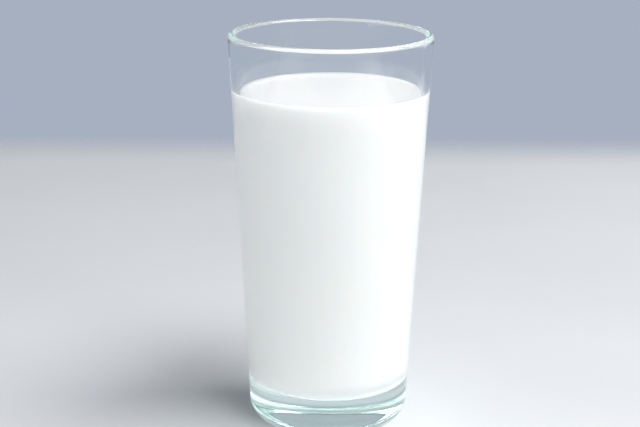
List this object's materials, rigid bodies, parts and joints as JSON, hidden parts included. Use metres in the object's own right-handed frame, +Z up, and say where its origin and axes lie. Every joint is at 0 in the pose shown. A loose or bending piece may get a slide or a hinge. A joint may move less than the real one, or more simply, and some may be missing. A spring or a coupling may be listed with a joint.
{
  "type": "glass of milk",
  "caption": "Tall tapered tumbler of clear glass with a thick base, filled with milk to a finger's width below its lip.",
  "frame": {"origin": "middle of the foot, on the surface that the glass stands on", "axes": "+Z up along the glass's axis, from the foot to the lip"},
  "size_m": [0.0732, 0.0732, 0.145],
  "materials": {
    "clear_glass": "clear and polished",
    "milk": "smooth and wet, soft white"
  },
  "bodies": {
    "root": {"glass": "clear_glass", "milk": "milk"}
  },
  "joints": []
}
